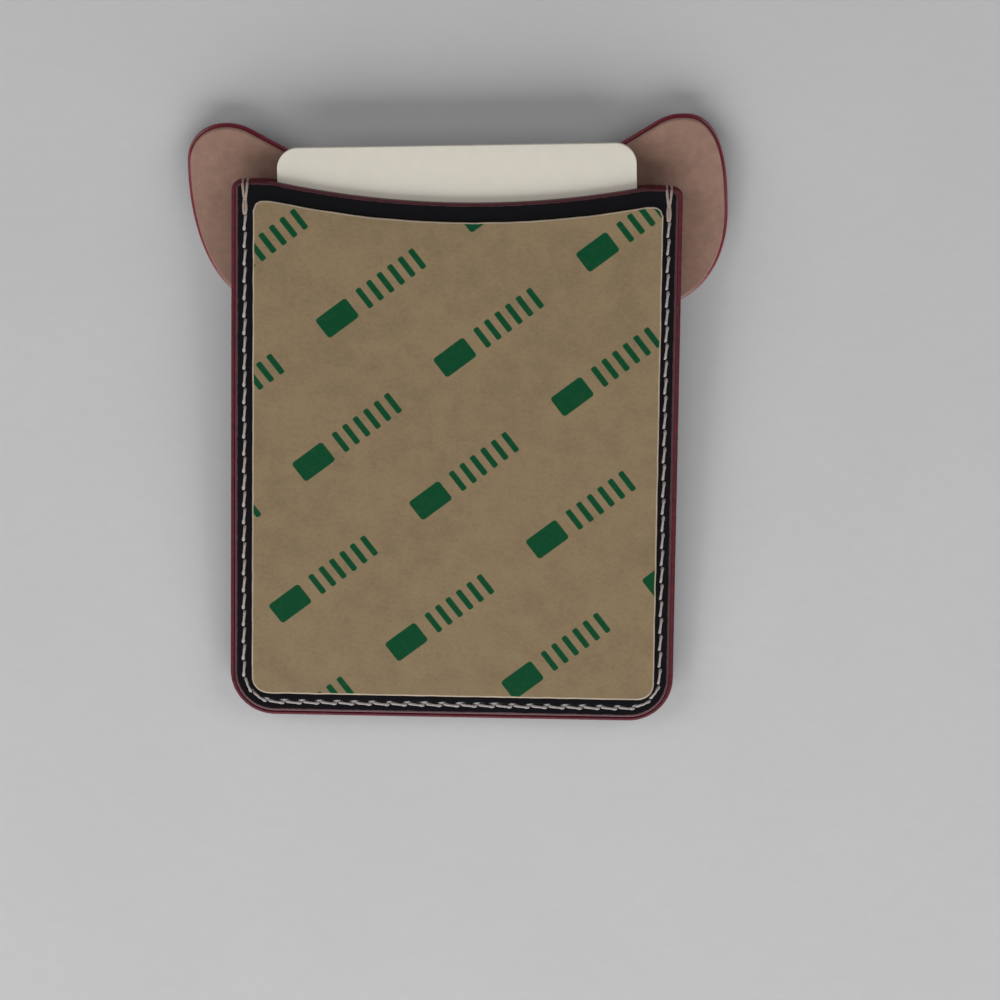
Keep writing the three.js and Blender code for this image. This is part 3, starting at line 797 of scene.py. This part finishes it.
def shade(rgba, factor):
    """A colour made darker or lighter."""
    return (*[min(c * factor, 1) for c in rgba[:3]], 1.0)


# The colour inputs and the colour output of the Mix node.
FIRST, SECOND, MIXED = 6, 7, 2


def mottled(tree, share, rgba, low, high):
    """A colour that varies between two shades of itself."""
    return node(tree, "Mix", {0: share, FIRST: shade(rgba, low), SECOND: shade(rgba, high)},
                MIXED, data_type="RGBA")


def patent_leather(finish):
    """Lacquered leather: a black coat under thick clear lacquer, which wrinkles very slightly.

    The lacquer gives sharp bluish reflections that break up over the seam and end at the rim,
    and the cut edge and a hair line beside it carry crimson edge paint.
    """
    def build(tree, place):
        rim = node(tree, "Attribute", {}, "Fac", attribute_name="rim")
        wander = node(tree, "MapRange", (speckle(tree, place, 0.9), 0.3, 0.7, -0.05, 0.05))
        inside = node(tree, "Math", (rim, wander), operation="ADD")
        cut = node(tree, "MapRange", (inside, 0.16, 0.22, 1.0, 0.0))
        lap = node(tree, "Math", (node(tree, "MapRange", (inside, 0.28, 0.33)),
                                  node(tree, "MapRange", (inside, 0.38, 0.44, 1.0, 0.0))),
                   operation="MULTIPLY")
        lap = node(tree, "Math", (lap, 0.75), operation="MULTIPLY")
        painted = node(tree, "Math", (cut, lap), operation="MAXIMUM")
        base = mottled(tree, speckle(tree, place, 2.5), finish.patent, 0.7, 1.5)
        height = node(tree, "Math", (speckle(tree, place, 0.5, 3), 0.18,
                                     speckle(tree, place, 3.2, 1)), operation="MULTIPLY_ADD")
        return {
            "Base Color": node(tree, "Mix", {0: painted, FIRST: base,
                                             SECOND: shade(finish.paint, 1.2)},
                               MIXED, data_type="RGBA"),
            "Roughness": node(tree, "MapRange", (inside, 0.36, 0.44, 0.5, 0.09)),
            "Coat Weight": node(tree, "MapRange", (inside, 0.36, 0.44, 0.05, 1.0)),
            "Normal": node(tree, "Bump", {"Height": height, "Distance": 0.06 * MM}),
        }
    return surface("patent_leather_lacquered",
                   {"IOR": 1.52, "Coat Roughness": 0.04, "Coat IOR": 1.5}, build)


def edge_paint(finish):
    """Acrylic edge paint, brushed on in several coats: satin, slightly lumpy, with painted shade in
    its hollows and painted highlight on its lumps.
    """
    def build(tree, place):
        lumps = speckle(tree, place, 0.8, 3)
        height = node(tree, "Math", (speckle(tree, place, 0.16, 2), 0.3, lumps),
                      operation="MULTIPLY_ADD")
        # Colour follows the lumps of the bump: painted shade in the hollows, painted highlight on
        # the lumps.
        lump_shade_share = node(tree, "MapRange", (lumps, 0.35, 0.65))
        return {
            "Base Color": mottled(tree, lump_shade_share, finish.paint, 0.75, 1.35),
            "Roughness": node(tree, "MapRange", (speckle(tree, place, 0.5), 0.3, 0.7, 0.4, 0.6)),
            "Normal": node(tree, "Bump", {"Height": height, "Distance": 0.05 * MM}),
        }
    return surface("edge_paint_brushed", {"IOR": 1.48, "Specular IOR Level": 0.25}, build)


def bow_leather(finish):
    """Crimson patent leather: clear lacquer over an even dye, with a fine calf grain beneath."""
    def build(tree, place):
        scaled = node(tree, "Mapping", {"Vector": place, "Scale": (1 / MM,) * 3})
        cells = node(tree, "TexVoronoi", {"Vector": scaled, "Scale": 1 / 0.55}, "Distance",
                     feature="DISTANCE_TO_EDGE")
        grain = node(tree, "MapRange", (cells, 0.0, 0.25))
        height = node(tree, "Math", (grain, 0.22, speckle(tree, place, 3.0, 2)),
                      operation="MULTIPLY_ADD")
        rim = node(tree, "Attribute", {}, "Fac", attribute_name="rim")
        edge = node(tree, "MapRange", (rim, 0.15, 0.4, 1.0, 0.0))
        body = mottled(tree, speckle(tree, place, 4, 2), finish.crimson, 0.85, 1.2)
        return {
            "Base Color": node(tree, "Mix", {0: edge, FIRST: body,
                                             SECOND: shade(finish.paint, 2.2)},
                               MIXED, data_type="RGBA"),
            "Roughness": node(tree, "MapRange", (grain, 0, 1, 0.42, 0.34)),
            "Normal": node(tree, "Bump", {"Height": height, "Distance": 0.05 * MM}),
        }
    return surface("patent_leather_crimson",
                   {"IOR": 1.5, "Coat Weight": 0.4, "Coat Roughness": 0.14, "Coat IOR": 1.5}, build)


def layered(tree, tone, rgba, layers):
    """Lay darker or lighter shades over a tone: each pattern, its low, high, most and shade."""
    for pattern, low, high, most, factor in layers:
        share = node(tree, "MapRange", (pattern, low, high, 0, most))
        tone = node(tree, "Mix", {0: share, FIRST: tone, SECOND: shade(rgba, factor)}, MIXED,
                    data_type="RGBA")
    return tone


def lining_leather(finish):
    """Split suede lining, sheared short: a dusty nap that scatters light, mottled by handling."""
    def build(tree, place):
        nap = speckle(tree, place, 0.22, 4)
        mottle = speckle(tree, place, 1.6, 3)
        tone = mottled(tree, node(tree, "MapRange", (mottle, 0.3, 0.7)), finish.lining, 0.88, 1.12)
        tone = layered(tree, tone, finish.lining, (
            (nap, 0.35, 0.65, 0.25, 0.66), (speckle(tree, place, 9, 2), 0.35, 0.65, 0.2, 0.8)))
        height = node(tree, "Math", (nap, 0.7, mottle), operation="MULTIPLY_ADD")
        return {
            "Base Color": tone,
            "Roughness": node(tree, "MapRange", (nap, 0.3, 0.7, 0.75, 0.92)),
            "Normal": node(tree, "Bump", {"Height": height, "Distance": 0.05 * MM}),
        }
    return surface("split_suede_dusty_pink",
                   {"Sheen Weight": 0.25, "Sheen Roughness": 0.5, "IOR": 1.45}, build)


PRINT_TURN = radians(-38)
PRINT_ROW = 15.5
PRINT_REPEAT = 27.0
PRINT_STAGGER = 10.5
PRINT_BLUR = 0.05
STROKE_PITCH = 2.0
STROKE_START = 3.2
# Half the width, half the height and the corners of each mark, and where the middle of it lies.
STROKE = (0.46, 1.8, 0.3)
BLOCK = (2.9, 1.8, 0.5)
BLOCK_AT = -7.4
STROKES = (6.0, 2.0, 0.05)
STROKES_AT = 2.8


def printed_marks(tree, place):
    """Share of ink: slanted rows of one solid block and six plain strokes, staggered row by row."""
    def centred(value, span):
        """Where a value lies in its repeat, from the middle of it."""
        wrapped = node(tree, "Math", (value, span), operation="FLOORED_MODULO")
        return node(tree, "Math", (wrapped, span / 2), operation="SUBTRACT")

    def box(x, y, half_x, half_y, corner):
        """One inside a rounded box, zero outside."""
        squares = []
        for value, half in ((x, half_x), (y, half_y)):
            far = node(tree, "Math", (value,), operation="ABSOLUTE")
            past = node(tree, "Math", (far, half - corner), operation="SUBTRACT")
            past = node(tree, "Math", (past, 0.0), operation="MAXIMUM")
            squares.append(node(tree, "Math", (past, 2.0), operation="POWER"))
        far = node(tree, "Math", squares, operation="ADD")
        far = node(tree, "Math", (far,), operation="SQRT")
        return node(tree, "MapRange", (far, corner - PRINT_BLUR, corner + PRINT_BLUR, 1.0, 0.0))

    turned = node(tree, "Mapping", {"Vector": place, "Scale": (1 / MM,) * 3,
                                    "Rotation": (0, 0, PRINT_TURN)})
    along, over, _ = node(tree, "SeparateXYZ", (turned,)).node.outputs
    row = node(tree, "Math", (over, PRINT_ROW), operation="DIVIDE")
    row = node(tree, "Math", (row,), operation="FLOOR")
    shifted = node(tree, "Math", (row, PRINT_STAGGER, along), operation="MULTIPLY_ADD")
    cell_x, cell_y = centred(shifted, PRINT_REPEAT), centred(over, PRINT_ROW)
    from_block = node(tree, "Math", (cell_x, BLOCK_AT), operation="SUBTRACT")
    from_strokes = node(tree, "Math", (cell_x, STROKES_AT), operation="SUBTRACT")
    from_start = node(tree, "Math", (cell_x, STROKE_START), operation="ADD")
    strokes = node(tree, "Math", (box(centred(from_start, STROKE_PITCH), cell_y, *STROKE),
                                  box(from_strokes, cell_y, *STROKES)), operation="MULTIPLY")
    return node(tree, "Math", (box(from_block, cell_y, *BLOCK), strokes), operation="MAXIMUM")


def kraft_paper(finish):
    """Waxed kraft paper: short brown fibres under a thin glaze, with patchy flexographic ink."""
    def build(tree, place):
        fibres = speckle(tree, place, 0.5, 3, (0.85, 1.1, 1), radians(12))
        clouds = speckle(tree, place, 3.2, 3)
        tone = mottled(tree, node(tree, "MapRange", (clouds, 0.3, 0.7)), finish.kraft, 0.91, 1.09)
        tone = layered(tree, tone, finish.kraft, (
            (speckle(tree, place, 9.0, 3), 0.45, 0.65, 0.5, 1.16), (fibres, 0.4, 0.7, 0.28, 1.28),
            (fibres, 0.5, 0.3, 0.28, 0.8), (speckle(tree, place, 0.35, 1), 0.72, 0.8, 0.5, 0.5)))
        patchy = node(tree, "MapRange", (speckle(tree, place, 0.6, 3), 0.3, 0.5, 0.97, 1.0))
        ink = node(tree, "Math", (printed_marks(tree, place), patchy), operation="MULTIPLY")
        height = node(tree, "Math", (fibres, 0.6, clouds), operation="MULTIPLY_ADD")
        return {
            "Base Color": node(tree, "Mix", {0: ink, FIRST: tone, SECOND: tuple(finish.ink)},
                               MIXED, data_type="RGBA"),
            "Roughness": node(tree, "MapRange", (clouds, 0.3, 0.7, 0.5, 0.62)),
            "Normal": node(tree, "Bump", {"Height": height, "Distance": 0.02 * MM}),
        }
    return surface("kraft_paper_waxed", {"IOR": 1.45, "Specular IOR Level": 0.08}, build)


def plain(name, rgba, fleck, depth, rough, vary=0.08, **inputs):
    """A plain finish with a fine mottle in its colour, gloss and height."""
    def build(tree, place):
        fine = speckle(tree, place, fleck, 3)
        broad = node(tree, "MapRange", (speckle(tree, place, fleck * 9, 2), 0.35, 0.65))
        tone = mottled(tree, broad, rgba, 1 - vary, 1 + vary)
        return {
            "Base Color": layered(tree, tone, rgba, [(fine, 0.3, 0.7, 0.3, 1 - 2 * vary)]),
            "Roughness": node(tree, "MapRange", (fine, 0.3, 0.7, rough - 0.06, rough + 0.06)),
            "Normal": node(tree, "Bump", {"Height": fine, "Distance": depth * MM}),
        }
    return surface(name, inputs, build)


def waxed_thread(name, rgba):
    """Waxed polyester thread: twisted plies whose filaments catch light in fine slanted lines."""
    def build(tree, place):
        strands = speckle(tree, place, 0.12, 2, (1, 1, 3), radians(40))
        # Colour lighter on the raised strands and darker between them: painted highlight and shade
        # along the twist.
        share = node(tree, "MapRange", (strands, 0.35, 0.65))
        return {
            "Base Color": mottled(tree, share, rgba, 0.6, 1.25),
            "Normal": node(tree, "Bump", {"Height": strands, "Distance": 0.06 * MM}),
        }
    return surface(name, {"Roughness": 0.55, "Sheen Weight": 0.2, "IOR": 1.5}, build)


class MESH_OT_pocket_panels(bpy.types.Operator):
    """Add both patent panels and their painted edge"""
    bl_idname = "mesh.pocket_panels"
    bl_label = "Panels"

    def execute(self, context):
        plan = Plan(context.scene)
        finish = context.scene.pocket_finish
        leather = patent_leather(finish)
        mesh_object("patent_back", panel(plan, 1), [leather], "back_panel")
        mesh_object("patent_front", panel(plan, -1), [leather], "front_panel")
        mesh_object("edge_bead", edge_bead(plan), [edge_paint(finish)], "painted_edge")
        return {"FINISHED"}


class MESH_OT_pocket_seam(bpy.types.Operator):
    """Add the stitches of both faces and the locked seam ends"""
    bl_idname = "mesh.pocket_seam"
    bl_label = "Seam"

    def execute(self, context):
        plan = Plan(context.scene)
        finish = context.scene.pocket_finish
        thread = waxed_thread("waxed_thread_grey", finish.thread)
        # The locked ends take a darker, pinker tint of the thread.
        tack_tint = waxed_thread("waxed_thread_tack_tint", finish.tack_tint)
        mesh_object("stitches_back", seam(plan, 1), [thread], "seam_thread_back")
        mesh_object("stitches_front", seam(plan, -1), [thread], "seam_thread_front")
        mesh_object("locked_end_left", tack(plan, -1), [tack_tint], "back_tack_left")
        mesh_object("locked_end_right", tack(plan, 1), [tack_tint], "back_tack_right")
        return {"FINISHED"}


class MESH_OT_pocket_card(bpy.types.Operator):
    """Add the blank card"""
    bl_idname = "mesh.pocket_card"
    bl_label = "Card"

    def execute(self, context):
        finish = context.scene.pocket_finish
        plastic = plain("pvc_card_matte", finish.card, 0.2, 0.006, 0.5, 0.015, IOR=1.5)
        # A lighter copy of the card's plastic for its edge: painted highlight along the rim.
        card_rim_highlight = plain("pvc_card_rim_highlight", shade(finish.card, 1.12), 0.1, 0.02, 0.6, 0.04, IOR=1.5)
        card = insert_card(Plan(context.scene))
        mesh_object("blank_card", card, [plastic, card_rim_highlight], "insert_card")
        return {"FINISHED"}


class MESH_OT_pocket_liner(bpy.types.Operator):
    """Add the adhesive pad and the printed liner on it"""
    bl_idname = "mesh.pocket_liner"
    bl_label = "Liner and pad"

    def execute(self, context):
        plan = Plan(context.scene)
        finish = context.scene.pocket_finish
        foam = plain("acrylic_foam_tape", finish.adhesive, 0.25, 0.04, 0.5, 0.06, IOR=1.47)
        # The liner's cut edge: bare paper, painted lighter as a highlight along its rim.
        cut = plain("paper_cut_edge_highlight", finish.cut, 0.3, 0.03, 0.75, 0.12, IOR=1.45)
        pad = liner_sheet(plan, 0.15, plan.pad_base, plan.pad_base + plan.pad_t, 0.05)
        mesh_object("foam_pad", pad, [foam], "adhesive_pad")
        liner = liner_sheet(plan, 0, plan.liner_base, plan.liner_base + plan.liner_t, 0.2)
        centre = max(liner.faces,
                     key=lambda face: (round(face.calc_center_median().z, 3), face.calc_area()))
        for face in liner.faces:
            face.material_index = 0 if face is centre else 1
        mesh_object("kraft_liner", liner, [kraft_paper(finish), cut],
                    "release_liner")
        return {"FINISHED"}


class MESH_OT_pocket_bow(bpy.types.Operator):
    """Add the lined bow and its strap"""
    bl_idname = "mesh.pocket_bow"
    bl_label = "Bow"

    def execute(self, context):
        plan = Plan(context.scene)
        finish = context.scene.pocket_finish
        leather = bow_leather(finish)
        lining = bow_layer(plan, plan.bow_edge, plan.lining_back - plan.lining_t,
                           plan.lining_back, 0.3)
        mesh_object("suede_lining", lining, [lining_leather(finish)], "bow_lining")
        face = bow_layer(plan, 0, plan.face_back - plan.face_t, plan.face_back, 0.45)
        mesh_object("crimson_bow", face, [leather], "bow_face")
        mesh_object("crimson_strap", bow_strap(plan), [leather], "bow_knot")
        return {"FINISHED"}


CAMERA_AT = Vector((24.09694911, 266.41695518, 883.18939734))
CAMERA_LOOK = Vector((-0.01867085, -0.25402454, -0.96701755))
CAMERA_UP = Vector((-0.01811632, 0.96711331, -0.25369991))
FOCAL_PIXELS = 6000
PICTURE_PIXELS = 1000
SENSOR = 36.0
CLIP = (0.01, 20)
GROUND_HALF = 1.5
GROUND_DROP = 0.0002
SKY = (0.92, 0.95, 1.0, 1.0)
SKY_STRENGTH = 0.07
# Name, place and size in metres, and watts of each lamp.
LAMPS = (("key", (-0.04, -0.75, 0.45), (1.5, 0.8), 15.0),
         ("fill", (-0.85, 0.25, 0.65), (0.9, 0.7), 5.6),
         ("side", (0.85, 0.3, 0.65), (0.9, 0.7), 4.8))


class MESH_OT_pocket_stage(bpy.types.Operator):
    """Add the ground, the soft studio light and the camera"""
    bl_idname = "mesh.pocket_stage"
    bl_label = "Stage"

    def execute(self, context):
        scene = context.scene
        scene.view_settings.view_transform = "Standard"
        self.add_ground(scene)
        self.add_lights(scene)
        self.add_camera(scene)
        return {"FINISHED"}

    def add_ground(self, scene):
        bm = bmesh.new()
        bmesh.ops.create_grid(bm, x_segments=2, y_segments=2, size=GROUND_HALF)
        mesh = bpy.data.meshes.new("ground")
        bm.to_mesh(mesh)
        bm.free()
        ground = bpy.data.objects.new("ground", mesh)
        ground.location.z = -GROUND_DROP
        matte = plain("ground_matte", scene.pocket_finish.ground, 3.0, 0.05, 0.7, 0.01)
        mesh.materials.append(matte)
        scene.collection.objects.link(ground)

    def add_lights(self, scene):
        world = bpy.data.worlds.new("studio")
        world.use_nodes = True
        background = world.node_tree.nodes["Background"]
        background.inputs["Color"].default_value = SKY
        background.inputs["Strength"].default_value = SKY_STRENGTH
        scene.world = world
        for name, place, size, power in LAMPS:
            lamp = bpy.data.lights.new(name, "AREA")
            lamp.shape = "RECTANGLE"
            lamp.size, lamp.size_y = size
            lamp.energy = power
            light = bpy.data.objects.new(name, lamp)
            light.location = place
            light.rotation_euler = (-Vector(place)).to_track_quat("-Z", "Y").to_euler()
            scene.collection.objects.link(light)

    def add_camera(self, scene):
        data = bpy.data.cameras.new("camera")
        data.sensor_width = SENSOR
        data.lens = FOCAL_PIXELS / PICTURE_PIXELS * SENSOR
        data.clip_start, data.clip_end = CLIP
        camera = bpy.data.objects.new("camera", data)
        turn = LAID.to_quaternion()
        look, up = turn @ CAMERA_LOOK, turn @ CAMERA_UP
        axes = Matrix((look.cross(up).normalized(), up, -look)).transposed()
        camera.matrix_world = Matrix.Translation(LAID @ CAMERA_AT) @ axes.to_4x4()
        scene.collection.objects.link(camera)
        scene.camera = camera


OPERATORS = (MESH_OT_pocket_stage, MESH_OT_pocket_panels, MESH_OT_pocket_seam, MESH_OT_pocket_card,
             MESH_OT_pocket_liner, MESH_OT_pocket_bow)
GROUPS = {"pocket_panels": POCKET_PG_panels, "pocket_card": POCKET_PG_card,
          "pocket_bow": POCKET_PG_bow, "pocket_finish": POCKET_PG_finish}


class VIEW3D_PT_pocket(bpy.types.Panel):
    """Sidebar panel with the holder's sizes, colours and pieces"""
    bl_label = "Card pocket"
    bl_idname = "VIEW3D_PT_pocket"
    bl_space_type = "VIEW_3D"
    bl_region_type = "UI"
    bl_category = "Card pocket"

    def draw(self, context):
        for operator in OPERATORS:
            self.layout.operator(operator.bl_idname)
        for name in GROUPS:
            group = getattr(context.scene, name)
            box = self.layout.box()
            for prop in group.bl_rna.properties.keys():
                if prop not in ("rna_type", "name"):
                    box.prop(group, prop)


def register():
    for group in (*GROUPS.values(), *OPERATORS, VIEW3D_PT_pocket):
        bpy.utils.register_class(group)
    for name, group in GROUPS.items():
        setattr(bpy.types.Scene, name, PointerProperty(type=group))


def unregister():
    for name in GROUPS:
        delattr(bpy.types.Scene, name)
    for group in reversed((*GROUPS.values(), *OPERATORS, VIEW3D_PT_pocket)):
        bpy.utils.unregister_class(group)


def main():
    register()
    for operator in OPERATORS:
        group, name = operator.bl_idname.split(".")
        getattr(getattr(bpy.ops, group), name)()


if __name__ == "__main__":
    main()
